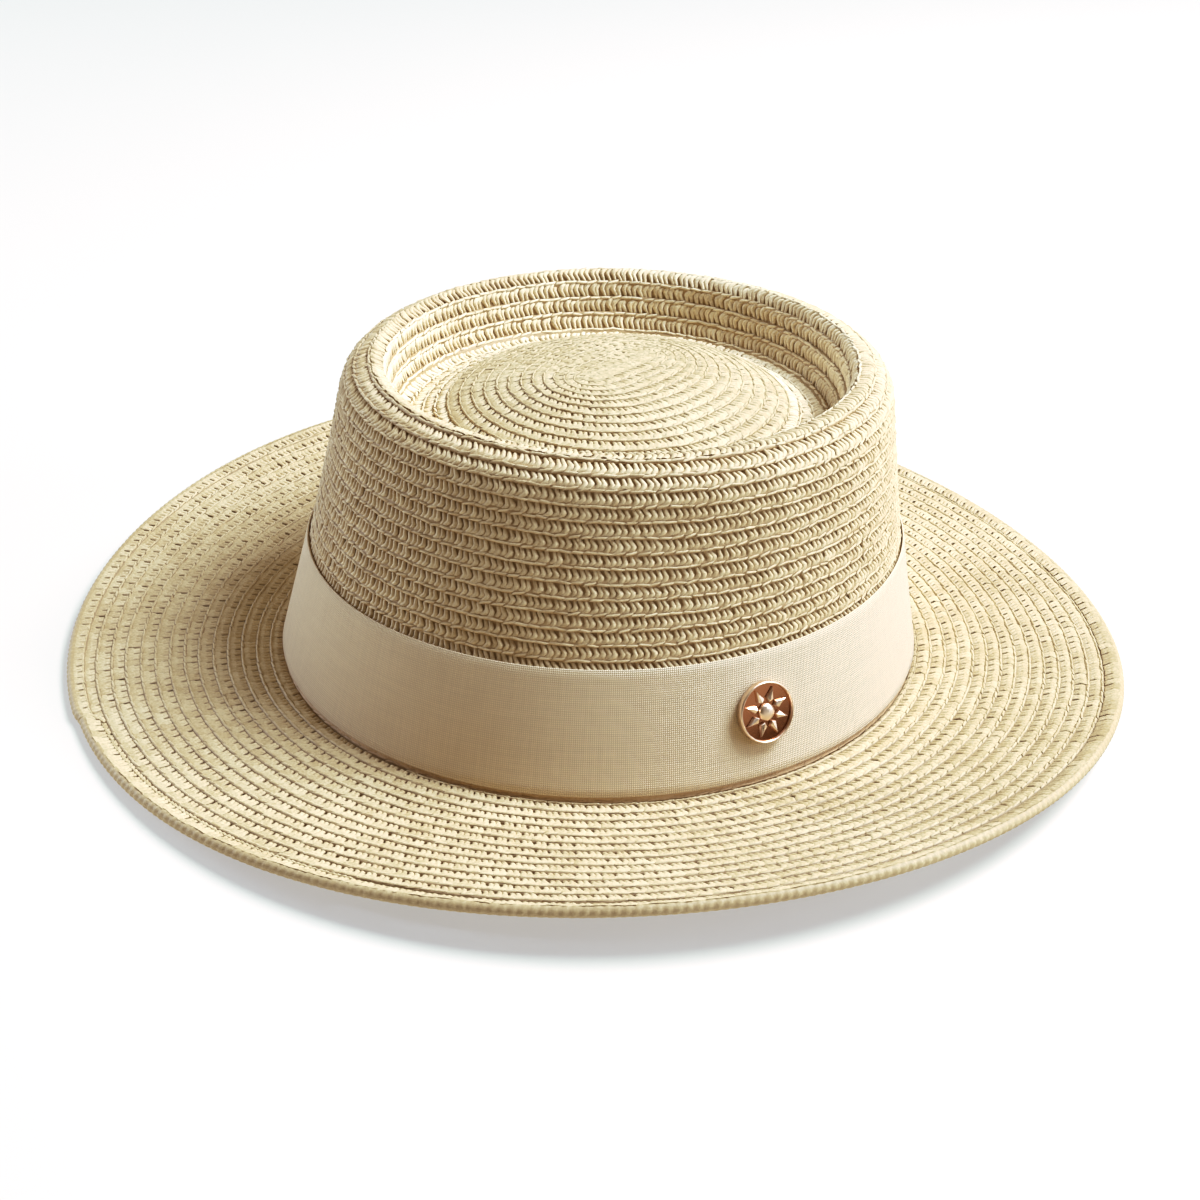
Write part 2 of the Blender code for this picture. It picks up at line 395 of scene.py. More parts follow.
def rowPath(name, way, first, last, line, relief=1.0):  # carries the way up and the row's width
    surface, rows, startTurn = way
    share, height = line
    points = []
    ups = []
    widths = []
    for turns, angle in rowStations(way, first, last, braid["pathStep"]):
        inner, outer = rows(turns)
        run = max(inner + (outer - inner) * share, braid["pathStart"])
        place, normal, reach = surfaceFrame(surface, run, angle)
        across = surface(outer, angle) - surface(inner, angle)
        points.append(place + normal * (height * relief * mm))
        ups.extend(normal)
        widths.append(across.length / braid["rowWidth"])
    mesh = bpy.data.meshes.new(name)
    mesh.from_pydata(points, [(index, index + 1) for index in range(len(points) - 1)], [])
    mesh.attributes.new("up", "FLOAT_VECTOR", "POINT").data.foreach_set("vector", ups)
    markPoints(mesh, "rowWidth", widths)
    return addObject(name, mesh)


# The shapes that every row repeats: a bent strand and a smooth segment.
# Their Y points to the row's inner edge. Their points carry an unshaded share, and a low share paints shade
# on the strands' sides and inner ends and on the segments' sides and ends.
strandShape = {
    "length": 3.7,  # across the row, for a row 4.2 mm wide
    "height": 0.42,
    # share across the row, shift along it, width, height of the back, height of the whole section,
    # and the share of its sides left unshaded, lower values painting shade there
    "hooked": (
        (0.00, -0.60, 0.95, 0.50, -0.36, 0.25),
        (0.18, -0.40, 1.16, 1.00, -0.18, 0.38),
        (0.56, 0.26, 1.54, 1.05, 0.12, 0.72),
        (0.72, 0.06, 1.76, 0.95, 0.16, 0.82),
        (0.86, -0.34, 1.84, 0.80, 0.15, 0.86),
        (1.00, -0.86, 1.70, 0.40, 0.05, 0.80),
    ),
    "flat": (
        (0.00, -0.44, 1.60, 0.25, -0.12, 0.10),
        (0.12, -0.36, 1.46, 0.80, 0.00, 0.02),
        (0.34, -0.08, 1.36, 0.90, 0.08, 0.02),
        (0.47, 0.14, 1.46, 0.65, 0.22, 0.35),
        (0.64, 0.02, 2.36, 0.29, 0.38, 1.00),
        (1.00, -0.40, 2.54, 0.20, 0.20, 0.95),
    ),
    # section table, then place along the row and, for every strand, how much of the painted shade stays on
    # the side that faces its partner
    "kinds": {
        "hooked": ("hooked", ((0.0, 1.0),)),
        "single": ("flat", ((0.0, 1.0),)),
        "double": ("flat", ((-0.71, 0.35), (0.71, 0.35))),
    },
    "ribs": (  # across, up, how much of the section's painted shade the rib takes
        (-0.5, -0.40, 1.0),
        (-0.36, 0.50, 0.12),
        (-0.02, 1.0, 0.0),
        (0.36, 0.55, 0.08),
        (0.5, -0.40, 1.0),
    ),
}
segmentShape = {
    "length": 3.35,
    "width": 0.78,
    "height": 0.30,
    "slant": 0.8,
    # share left unshaded at the segments' ends, which paints shade there
    "endUnshadedPart": 0.75,
    # share along the row, shift across it, width, height of the back, height of the whole section
    "sections": (
        (0.00, 0.08, 0.90, 0.40, -0.04),
        (0.10, 0.06, 1.00, 0.90, 0.02),
        (0.90, -0.06, 1.00, 0.90, 0.02),
        (1.00, -0.08, 0.90, 0.40, -0.04),
    ),
    # across, up and unshaded share: the segments' sides get painted shade
    "ribs": ((-0.5, -0.2, 0.45), (-0.22, 0.9, 1.0), (0.22, 1.0, 1.0), (0.5, -0.3, 0.45)),
}


def strandMesh(kind):  # one strand, or two that lean on each other
    shape = strandShape
    points = []
    unshadedShares = []
    table, strands = shape["kinds"][kind]
    for offset, partnerLoss in strands:
        for share, shift, width, back, rise, sides in shape[table]:
            for place, up, lost in shape["ribs"]:
                if offset * -place < 0.0:
                    lost *= partnerLoss
                across = (0.5 - share) * shape["length"]
                points.append((offset + shift - place * width, across, rise + up * back * shape["height"]))
                unshadedShares.append(1.0 - lost * (1.0 - sides))
    return repeatedMesh(kind + "Strand", points, unshadedShares, len(shape["ribs"]), len(shape[table]))


def segmentMesh():
    shape = segmentShape
    points = []
    unshadedShares = []
    for share, shift, width, back, rise in shape["sections"]:
        for across, up, unshadedPart in shape["ribs"]:
            along = (share - 0.5) * shape["length"] + across * shape["slant"]
            sideways = across * shape["width"] * width - shift
            points.append((along, sideways, rise + up * back * shape["height"]))
            unshadedShares.append(unshadedPart if 0.0 < share < 1.0 else unshadedPart * shape["endUnshadedPart"])
    return repeatedMesh("segment", points, unshadedShares, len(shape["ribs"]), len(shape["sections"]))


def repeatedMesh(name, points, unshadedShares, across, sections):
    faces = []
    for row in range(len(points) // across - 1):
        if (row + 1) % sections == 0:
            continue
        for column in range(across - 1):
            a = row * across + column
            faces.append((a, a + 1, a + 1 + across, a + across))
    mesh = smoothMesh(name, [Vector(point) * mm for point in points], faces)
    if sum(face.normal.z for face in mesh.polygons) < 0.0:
        mesh.flip_normals()
    markPoints(mesh, "onTop", unshadedShares)
    mesh.uv_layers.new(name="braidUV")
    return mesh


# Nodes: what every tree here is built with
def feed(tree, node, inputs):  # each input gets a plain value, or a link from a socket
    for key, value in inputs.items():
        if isinstance(value, bpy.types.NodeSocket):
            tree.links.new(value, node.inputs[key])
        else:
            node.inputs[key].default_value = value
    return node


def addNode(tree, kind, inputs=None, **settings):
    node = tree.nodes.new(kind)
    for key, value in settings.items():
        setattr(node, key, value)
    return feed(tree, node, inputs or {})


def mathNode(tree, operation, *values):
    return addNode(tree, "ShaderNodeMath", dict(enumerate(values)), operation=operation).outputs[0]


def vectorNode(tree, operation, *values):
    return addNode(tree, "ShaderNodeVectorMath", dict(enumerate(values)), operation=operation).outputs[0]


def scaledVector(tree, vector, scale):
    return addNode(tree, "ShaderNodeVectorMath", {0: vector, "Scale": scale}, operation="SCALE").outputs[0]


def newSocket(tree, name, kind, value=None, output=False):
    direction = "OUTPUT" if output else "INPUT"
    socket = tree.interface.new_socket(name=name, in_out=direction, socket_type=kind)
    if value is not None:
        socket.default_value = value


# Geometry Nodes: lays strands and segments along the rows
braidInputs = (  # name, kind, value
    ("Geometry", "NodeSocketGeometry", None),
    ("Strand Path", "NodeSocketObject", None),
    ("Segment Path", "NodeSocketObject", None),
    ("Strand", "NodeSocketObject", None),
    ("Segment", "NodeSocketObject", None),
    ("Strand Spacing", "NodeSocketFloat", 0.0017),
    ("Segment Spacing", "NodeSocketFloat", 0.0037),
    ("Relief", "NodeSocketFloat", 1.0),
    ("Size Variation", "NodeSocketFloat", 0.1),
    ("Turn Variation", "NodeSocketFloat", 0.1),
    ("Place Variation", "NodeSocketFloat", 0.0001),
    ("Pairing", "NodeSocketFloat", 0.0001),
    ("Seed", "NodeSocketInt", 7),
    ("Material", "NodeSocketMaterial", None),
)
variation = {  # largest value along, across and up, and the seed's shift
    "turn": ((0.5, 0.6, 1.0), 11),
    "size": ((1.0, 0.6, 1.5), 23),
    "place": ((1.0, 0.7, 0.5), 41),
    "tintSeed": 31,
    "segmentSeed": 100,
    "pairWay": (1.0, 0.0, -0.4),  # every second strand leans on the next one and lies lower
}


def braidTree():
    tree = bpy.data.node_groups.new("braidRows", "GeometryNodeTree")
    for name, kind, value in braidInputs:
        newSocket(tree, name, kind, value)
    newSocket(tree, "Geometry", "NodeSocketGeometry", output=True)
    given = addNode(tree, "NodeGroupInput").outputs

    def named(name, kind):
        stored = addNode(tree, "GeometryNodeInputNamedAttribute", {"Name": name}, data_type=kind)
        return stored.outputs["Attribute"]

    def pairUp(shift):
        index = addNode(tree, "GeometryNodeInputIndex").outputs[0]
        second = mathNode(tree, "FLOORED_MODULO", index, 2.0)
        amount = mathNode(tree, "MULTIPLY", second, given["Pairing"])
        return vectorNode(tree, "MULTIPLY_ADD", variation["pairWay"], amount, shift)

    def layAlong(pathName, shapeName, spacingName, seedShift, paired):
        path = addNode(tree, "GeometryNodeObjectInfo", {"Object": given[pathName]})
        curve = addNode(tree, "GeometryNodeMeshToCurve", {"Mesh": path.outputs["Geometry"]})
        spacing = {"Curve": curve.outputs["Curve"], "Length": given[spacingName]}
        spaced = addNode(tree, "GeometryNodeResampleCurve", spacing, mode="LENGTH")
        aim = addNode(tree, "FunctionNodeAxesToRotation", {
            "Primary Axis": named("up", "FLOAT_VECTOR"),
            "Secondary Axis": addNode(tree, "GeometryNodeInputTangent").outputs["Tangent"],
        }, primary_axis="Z", secondary_axis="X")
        seed = mathNode(tree, "ADD", given["Seed"], seedShift)

        def randomBetween(low, high, shift, kind="FLOAT"):
            ownSeed = mathNode(tree, "ADD", seed, shift)
            chance = addNode(tree, "FunctionNodeRandomValue", {"Seed": ownSeed}, data_type=kind)
            ends = [socket for socket in chance.inputs if socket.enabled and socket.name in ("Min", "Max")]
            ends[0].default_value = low
            ends[1].default_value = high
            return [socket for socket in chance.outputs if socket.enabled][0]

        def vary(what):
            most, shift = variation[what]
            return randomBetween([-part for part in most], most, shift, "FLOAT_VECTOR")

        lean = scaledVector(tree, vary("turn"), given["Turn Variation"])
        leaned = addNode(tree, "FunctionNodeRotateRotation", {
            "Rotation": aim.outputs["Rotation"],
            "Rotate By": addNode(tree, "FunctionNodeEulerToRotation", {0: lean}).outputs[0],
        }, rotation_space="LOCAL")
        grow = vectorNode(tree, "MULTIPLY_ADD", vary("size"), given["Size Variation"], (1.0, 1.0, 1.0))
        widen = {"X": 1.0, "Y": named("rowWidth", "FLOAT"), "Z": given["Relief"]}
        size = vectorNode(tree, "MULTIPLY", grow, addNode(tree, "ShaderNodeCombineXYZ", widen).outputs[0])
        shape = addNode(tree, "GeometryNodeObjectInfo", {"Object": given[shapeName]})
        laid = addNode(tree, "GeometryNodeInstanceOnPoints", {
            "Points": spaced.outputs["Curve"],
            "Instance": shape.outputs["Geometry"],
            "Rotation": leaned.outputs["Rotation"],
            "Scale": size,
        })
        shift = scaledVector(tree, vary("place"), given["Place Variation"])
        moved = addNode(tree, "GeometryNodeTranslateInstances", {
            "Instances": laid.outputs["Instances"],
            "Translation": pairUp(shift) if paired else shift,
            "Local Space": True,
        })
        tint = addNode(tree, "GeometryNodeStoreNamedAttribute", {
            "Name": "tint",
            "Geometry": moved.outputs["Instances"],
        }, data_type="FLOAT", domain="INSTANCE")
        feed(tree, tint, {"Value": randomBetween(0.0, 1.0, variation["tintSeed"])})
        return tint.outputs["Geometry"]

    strands = layAlong("Strand Path", "Strand", "Strand Spacing", 0, True)
    segments = layAlong("Segment Path", "Segment", "Segment Spacing", variation["segmentSeed"], False)
    together = addNode(tree, "GeometryNodeJoinGeometry")
    for part in (segments, strands, given["Geometry"]):
        tree.links.new(part, together.inputs[0])
    real = addNode(tree, "GeometryNodeRealizeInstances", {0: together.outputs[0]})
    finish = addNode(tree, "GeometryNodeSetMaterial", {
        "Geometry": real.outputs[0],
        "Material": given["Material"],
    })
    addNode(tree, "NodeGroupOutput", {0: finish.outputs["Geometry"]})
    return tree


def runTree(item, tree, values):  # gives the tree its inputs and turns its result into a plain mesh
    modifier = item.modifiers.new(tree.name, "NODES")
    modifier.node_group = tree
    for socket in tree.interface.items_tree:
        if socket.item_type == "SOCKET" and socket.in_out == "INPUT" and socket.name in values:
            modifier[socket.identifier] = values[socket.name]
    item.update_tag()
    graph = bpy.context.evaluated_depsgraph_get()
    graph.update()
    mesh = bpy.data.meshes.new_from_object(item.evaluated_get(graph), depsgraph=graph)
    item.modifiers.remove(modifier)
    item.data = mesh
    mesh.name = item.name


# Materials
def shaderGroup(name, inputs, outputs):
    group = bpy.data.node_groups.new(name, "ShaderNodeTree")
    for label, kind, value in inputs:
        newSocket(group, label, kind, value)
    for label, kind in outputs:
        newSocket(group, label, kind, output=True)
    return group, addNode(group, "NodeGroupInput").outputs, addNode(group, "NodeGroupOutput")


def newMaterial(name, roughness, metallic=0.0):
    material = bpy.data.materials.new(name)
    material.use_nodes = True
    tree = material.node_tree
    shader = tree.nodes["Principled BSDF"]
    feed(tree, shader, {"Roughness": roughness, "Metallic": metallic})
    return material, tree, shader


def noiseNode(tree, vector, scale, detail):
    inputs = {"Vector": vector, "Scale": scale, "Detail": detail}
    return addNode(tree, "ShaderNodeTexNoise", inputs).outputs["Fac"]


def mapNode(tree, value, before, after):
    inputs = {
        "Value": value,
        "From Min": before[0],
        "From Max": before[1],
        "To Min": after[0],
        "To Max": after[1],
    }
    return addNode(tree, "ShaderNodeMapRange", inputs).outputs["Result"]


def mixNode(tree, factor, first, second, blend="MIX"):
    inputs = {"Factor": factor, "A": first, "B": second}
    return addNode(tree, "ShaderNodeMix", inputs, data_type="RGBA", blend_type=blend).outputs["Result"]


def bumpNode(tree, height, strength, depth):
    inputs = {"Strength": strength, "Distance": depth, "Height": height}
    return addNode(tree, "ShaderNodeBump", inputs).outputs["Normal"]


def objectPlace(tree):
    return addNode(tree, "ShaderNodeTexCoord").outputs["Object"]


strawFinish = {
    "colours": {  # light colour, and the painted shade colour that goes between the strands, on their sides and ends and on the strip under them
        "crown": ((0.72, 0.575, 0.345, 1.0), (0.40, 0.27, 0.13, 1.0)),
        "dome": ((0.68, 0.545, 0.32, 1.0), (0.42, 0.31, 0.165, 1.0)),
        "brim": ((0.68, 0.54, 0.315, 1.0), (0.36, 0.255, 0.135, 1.0)),
        "tip": ((0.68, 0.545, 0.32, 1.0), (0.52, 0.40, 0.22, 1.0)),
        # channel: a lighter copy of the straw, painted light for the light bounced into the channel from the
        # tip
        "channel": ((0.90, 0.77, 0.52, 1.0), (0.42, 0.29, 0.14, 1.0)),
        # foot: a darker copy of the straw, painted shade for the ribbon's shadow on the row at the crown's
        # foot
        "foot": ((0.62, 0.43, 0.24, 1.0), (0.40, 0.27, 0.13, 1.0)),
        "last": ((0.68, 0.54, 0.315, 1.0), (0.46, 0.34, 0.19, 1.0)),
        "edge": ((0.66, 0.525, 0.305, 1.0), (0.44, 0.32, 0.17, 1.0)),
    },
    "shaded": (0.74, 0.69, 0.61, 1.0),  # what the darker fibres are multiplied by
    "patchScale": 34.0,
    "patchRange": (0.35, 0.65),
    "patchiness": 0.35,
    "tintWeight": 0.55,
    "fibreScale": 1400.0,
    "fibreWeight": 1.7,
    "shadeRange": (0.60, 1.50),
    "roughness": 0.62,
    "roughRange": (0.5, 0.72),
    "bump": 0.25,
    "bumpDepth": 0.15 * mm,
}


def strawGroup():
    group, given, taken = shaderGroup(
        "strawFibre",
        (
            ("Light", "NodeSocketColor", (0.80, 0.66, 0.42, 1.0)),
            ("Deep", "NodeSocketColor", (0.45, 0.30, 0.14, 1.0)),
            ("Tint", "NodeSocketFloat", 0.5),
            ("On Top", "NodeSocketFloat", 1.0),
            ("Patchiness", "NodeSocketFloat", 0.5),
        ),
        (("Colour", "NodeSocketColor"), ("Height", "NodeSocketFloat"), ("Roughness", "NodeSocketFloat")),
    )
    place = objectPlace(group)
    broad = noiseNode(group, place, strawFinish["patchScale"], 3.0)
    fine = noiseNode(group, place, strawFinish["fibreScale"], 2.0)
    # tint, patches and fibres added up into one shade from 0 to 1
    patch = mapNode(group, broad, strawFinish["patchRange"], (-0.5, 0.5))
    patchy = mathNode(group, "MULTIPLY", patch, given["Patchiness"])
    tinted = mathNode(group, "MULTIPLY_ADD", given["Tint"], strawFinish["tintWeight"], patchy)
    fibre = mathNode(group, "MULTIPLY_ADD", fine, strawFinish["fibreWeight"], tinted)
    shade = mapNode(group, fibre, strawFinish["shadeRange"], (0.0, 1.0))
    dark = mixNode(group, 1.0, given["Light"], strawFinish["shaded"], "MULTIPLY")
    straw = mixNode(group, shade, dark, given["Light"])
    # The unshaded share mixes the straw towards the painted shade colour: 0 gives painted shade, 1 the
    # straw's own colour.
    feed(group, taken, {
        "Colour": mixNode(group, given["On Top"], given["Deep"], straw),
        "Height": fine,
        "Roughness": mapNode(group, fine, (0.0, 1.0), strawFinish["roughRange"]),
    })
    return group


def fibreShader(tree, shader, fibre, normal):  # the straw group's results go to the shader
    feed(tree, shader, {
        "Base Color": fibre.outputs["Colour"],
        "Roughness": fibre.outputs["Roughness"],
        "Normal": normal,
    })


def strawMaterial(name, group, light, deep):
    material, tree, shader = newMaterial(name, strawFinish["roughness"])
    fibre = addNode(tree, "ShaderNodeGroup", node_tree=group)
    feed(tree, fibre, {
        "Light": light,
        "Deep": deep,
        "Patchiness": strawFinish["patchiness"],
        "Tint": addNode(tree, "ShaderNodeAttribute", attribute_name="tint").outputs["Fac"],
        # the strip and the plate under the strands have no unshaded share, so they take the painted shade
        # colour whole
        "On Top": addNode(tree, "ShaderNodeAttribute", attribute_name="onTop").outputs["Fac"],
    })
    bump = bumpNode(tree, fibre.outputs["Height"], strawFinish["bump"], strawFinish["bumpDepth"])
    fibreShader(tree, shader, fibre, bump)
    return material


strawFibre = strawGroup()
straw = {
    place: strawMaterial(place + "Straw", strawFibre, light, deep)
    for place, (light, deep) in strawFinish["colours"].items()
}

reverseFinish = {
    "roughness": 0.7,
    "slant": 0.16,
    "strand": 0.34,
    "roundness": 0.6,
    "patchiness": 0.6,
    "bump": 0.9,
    "bumpDepth": 0.4 * mm,
}


def reverseMaterial(group):  # the back of the braid, its plait drawn by bump on the strip's own UV and by painted shade in the grooves between its strands
    material, tree, shader = newMaterial("strawReverse", reverseFinish["roughness"])
    uv = addNode(tree, "ShaderNodeUVMap", uv_map="braidUV").outputs["UV"]
    split = addNode(tree, "ShaderNodeSeparateXYZ", {0: uv}).outputs
    slant = mathNode(tree, "MULTIPLY_ADD", split["Y"], reverseFinish["slant"], split["X"])
    wave = mathNode(tree, "SINE", mathNode(tree, "MULTIPLY", slant, fullTurn / reverseFinish["strand"]))
    strand = mathNode(tree, "POWER", mathNode(tree, "ABSOLUTE", wave), reverseFinish["roundness"])
    light, deep = strawFinish["colours"]["crown"]
    fibre = addNode(tree, "ShaderNodeGroup", node_tree=group)
    feed(tree, fibre, {
        "Light": light,
        "Deep": deep,
        "Patchiness": reverseFinish["patchiness"],
        "On Top": strand,
    })
    bump = bumpNode(tree, strand, reverseFinish["bump"], reverseFinish["bumpDepth"])
    fibreShader(tree, shader, fibre, bump)
    return material


strawReverse = reverseMaterial(strawFibre)
print("straw materials ready")


# Braid pieces
strandObjects = {kind: addObject(kind + "Strand", strandMesh(kind)) for kind in strandShape["kinds"]}
segmentObject = addObject("segmentShape", segmentMesh())
rowsTree = braidTree()


def dressRows(item, paths, kind, material, relief, seed):  # paths: strand path and segment path
    strandPath, segmentPath = paths
    runTree(item, rowsTree, {
        "Strand Path": strandPath,
        "Segment Path": segmentPath,
        "Strand": strandObjects[kind],
        "Segment": segmentObject,
        "Strand Spacing": braid["strandSpacing"][kind],
        "Segment Spacing": braid["segmentSpacing"],
        "Relief": relief,
        "Size Variation": braid["sizeVariation"],
        "Turn Variation": braid["turnVariation"][kind],
        "Place Variation": braid["placeVariation"][kind],
        "Pairing": braid["pairing"][kind],
        "Seed": seed,
        "Material": straw[material],
    })
    for path in paths:
        bpy.data.objects.remove(path)
    print(item.name, "has", len(item.data.polygons), "faces")


def layBraid(way, part, dressedEnd=None, segments=True):
    name, first, last, kind, material, relief, seed = part
    strip = braidStrip(name, way, first, last, braid["baseStep"], relief=relief)
    end = last if dressedEnd is None else min(last, dressedEnd)
    paths = [rowPath(name + "Strands", way, first, end, braid["strandLine"], relief)]
    if segments:
        paths.append(rowPath(name + "Segments", way, first, end, braid["segmentLine"], relief))
    else:
        paths.append(addObject(name + "NoSegments", bpy.data.meshes.new(name + "NoSegments")))
    dressRows(strip, paths, kind, material, relief, seed)
    return strip


def turnsTo(run):  # the first whole turn of the crown's spiral that lies past a run
    return float(next(number for number, edge in enumerate(braid["crownRows"]) if edge > run))


bandTurns = turnsTo(wallRun(braid["bandTop"]))
footTurns = turnsTo(crownRun)
crownParts = (  # name, first and last turn, kind of strand, straw, relief, seed
    ("crownStart", braid["crownFirst"], 1.1, "single", "tip", 0.12, 3),
    ("crownDome", 1.1, 4.0, "single", "dome", 0.5, 4),
    ("domeRows", 4.0, 13.0, "single", "dome", 0.85, 8),
    ("crownChannel", 13.0, 20.0, "hooked", "channel", 1.0, 5),
    ("crownRim", 20.0, 24.0, "hooked", "crown", 1.0, 6),
    ("wallUpper", 24.0, 29.0, "hooked", "crown", 1.0, 7),
    ("wallLower", 29.0, footTurns, "hooked", "crown", 1.0, 9),
)
brimParts = (
    ("brimRoot", braid["brimFirst"], 3.0, "double", "brim", 1.0, 11),
    ("brimInner", 3.0, 6.5, "double", "brim", 1.0, 13),
    ("brimOuter", 6.5, 10.0, "double", "brim", 1.0, 15),
    ("brimRows", 10.0, braid["brimTurns"], "double", "brim", 1.0, 17),
)
crownBraid = [layBraid(crownWay, part, bandTurns) for part in crownParts]
print("crown braid ready")
brimBraid = [layBraid(brimWay, part) for part in brimParts]
print("brim braid ready")


def edgeBend(turn):  # where the last row starts to bend, and the way out there
    turns = min(max((turn - braid["brimStart"]) / fullTurn, 0.0), 1.0)
    return edgeRows(turns)[1] - braid["edgeBend"][0], roundWay(turn)


def edgeTop(run, turn):
    start, out = edgeBend(turn)
    place = brimTop(min(run, start), turn) + Vector((0.0, 0.0, braid["edgeLift"]))
    if run > start:
        radius = braid["edgeBend"][1]
        bend = (run - start) / radius
        place += out * (radius * math.sin(bend)) - Vector((0.0, 0.0, radius * (1.0 - math.cos(bend))))
    return place


def weltPoint(run, turn):  # down the foot of the wall, just under the ribbon
    return wallPoint(turn, braid["welt"][0] - run, braid["welt"][2])


def weltRows(turns):
    return 0.0, braid["welt"][1]


edgeWay = (edgeTop, edgeRows, braid["brimStart"])
weltWay = (weltPoint, weltRows, braid["brimStart"])
brimEdge = layBraid(edgeWay, ("brimEdge", 0.0, 1.0, "double", "last", 0.8, 19), segments=False)
# The welt takes the foot straw, whose darker colour is painted shade under the ribbon.
brimWelt = layBraid(weltWay, ("brimWelt", 0.0, 1.0, "double", "foot", 0.4, 23))


# Rolled edge: the last row turned under
rolledEdge = {
    "degrees": (-10, 6, 22, 40, 58, 75, 90, 105, 120, 140, 160, 180),  # round the edge, from straight up
    "out": 1.40 * mm,
    "above": 1.52 * mm,
    "below": (1.4 * mm, 1.96 * mm),  # where the brim is lifted, where it rests
    "inwards": 3.0 * mm,
    "step": 0.6 * mm,
    "strand": 2.4 * mm,
    "strandLean": 240.0,  # degrees round the edge for one strand's shift
    "relief": 0.36 * mm,
    "reliefAbove": 0.4,
    "reliefEnd": 160,  # degrees
    "underGap": 0.02 * mm,
}


def rollSection(number, angle):  # points from the top of the edge to the underside, and their unshaded shares, lower in the troughs between the lumps where shade is painted
    start, out = edgeBend(angle)
    middle = brimTop(start, angle) + Vector((0.0, 0.0, braid["edgeLift"] - braid["edgeBend"][1]))
    resting = max(0.0, -math.cos(2.0 * (angle - brimShape["liftTurn"])))
    lifted, rests = rolledEdge["below"]
    points = []
    unshadedShares = []
    for degrees in rolledEdge["degrees"]:
        around = math.radians(degrees)
        lean = number * rolledEdge["step"] / rolledEdge["strand"] + degrees / rolledEdge["strandLean"]
        lump = abs(math.sin(math.pi * lean))
        twist = rolledEdge["relief"] * lump if 0 < degrees < rolledEdge["reliefEnd"] else 0.0
        height = rolledEdge["above"] + rolledEdge["reliefAbove"] * twist
        if degrees > 90:
            height = lifted + (rests - lifted) * resting
        sideways = out * (math.sin(around) * (rolledEdge["out"] + twist))
        points.append(middle + sideways + Vector((0.0, 0.0, math.cos(around) * height)))
        # painted shade in the troughs between the lumps
        unshadedShares.append(math.sqrt(lump))
    under = brimBelow(start - rolledEdge["inwards"], angle)
    points.append(under - Vector((0.0, 0.0, rolledEdge["underGap"])))
    unshadedShares.append(1.0)
    return points, unshadedShares


def makeRoll():
    count = int(fullTurn * brimShape["radius"] / rolledEdge["step"])
    wide = len(rolledEdge["degrees"]) + 1
    points = []
    unshadedShares = []
    for number in range(count + 1):
        section, unshadedPart = rollSection(number, braid["brimStart"] + fullTurn * number / count)
        points += section
        unshadedShares += unshadedPart
    faces = [
        (a, a + 1, a + 1 + wide, a + wide)
        for number in range(count)
        for a in range(number * wide, number * wide + wide - 1)
    ]
    faces.append(tuple(reversed(range(wide))))
    faces.append(tuple(range(count * wide, (count + 1) * wide)))
    uvs = []
    for corner in (corner for face in faces for corner in face):
        number, step = divmod(corner, wide)
        uvs.append((number * rolledEdge["step"] * braid["uvScale"], step / wide))
    mesh = smoothMesh("brimRoll", points, faces, "braidUV", uvs)
    markPoints(mesh, "onTop", unshadedShares)
    mesh.materials.append(straw["edge"])
    return addObject("brimRoll", mesh)


brimRoll = makeRoll()
print("rolled edge ready")


# Small plate that closes the crown's middle under the first loop of braid; it has no unshaded share, so it
# shows the tip straw's painted shade colour
tipPlateShape = {"sides": 48, "run": 1.6, "depth": 0.45}  # run and depth in millimetres


def makeTipPlate():
    count = tipPlateShape["sides"]
    ring = []
    for number in range(count):
        turn = fullTurn * number / count
        place, normal, reach = surfaceFrame(crownPoint, tipPlateShape["run"] * mm, turn)
        ring.append(place - normal * tipPlateShape["depth"] * mm)
    mesh = bpy.data.meshes.new("tipPlate")
    mesh.from_pydata(ring, [], [tuple(range(count))])
    mesh.materials.append(straw["tip"])
    return addObject("tipPlate", mesh)


tipPlate = makeTipPlate()
for helper in (*strandObjects.values(), segmentObject):
    bpy.data.objects.remove(helper)


# Inner face of the crown and underside of the brim
def crownInside(run, turn):
    place, normal, reach = surfaceFrame(crownPoint, max(run, braid["pathStart"]), turn)
    return place - normal * crownShape["thickness"]


insideWay = (crownInside, crownSpiral, braid["crownStart"])
underWay = (brimBelow, brimSpiral, braid["brimStart"])
inner = (braid["innerStep"], -1.0)  # step along the rows, and the side that they face
crownLining = braidStrip("crownInside", insideWay, braid["crownFirst"], footTurns, *inner)
brimUnder = braidStrip("brimUnder", underWay, braid["brimFirst"], braid["brimTurns"], *inner)
for item in (crownLining, brimUnder):
    item.data.materials.append(strawReverse)

crownPieces = (*crownBraid, tipPlate, crownLining)
brimPieces = (*brimBraid, brimWelt, brimEdge, brimRoll, brimUnder)
for item in crownPieces + brimPieces:
    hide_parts("crown" if item in crownPieces else "brim")
    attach(item, "root")
print("straw pieces ready")


# Ribbon round the crown
ribbon = {
    "bottom": 3.6 * mm,
    "top": 35.4 * mm,
    "outer": 1.25 * mm,  # from the crown's wall to the ribbon's face
    "thickness": 0.5 * mm,
    "rounding": (0.32, 0.3, 0.7),  # shares of the thickness: corner, near the face, near the back
    "sides": 288,
    "rows": 14,
    "lapTurn": math.radians(135.0),
    "lapWidth": 30.0 * mm,
    "lapRadius": 88.0 * mm,
    "lapThickness": 0.7 * mm,
    "lapDrop": 0.1 * mm,
    "lapSides": 32,
    "wave": 0.10 * mm,  # the cloth is a little uneven
    "waveRates": (5.0, 11.0),  # waves round the crown
    "waveSlant": 90.0,
    "waveShift": 1.3,
    "uvScale": 1000.0,  # the cloth's UV is in millimetres
}


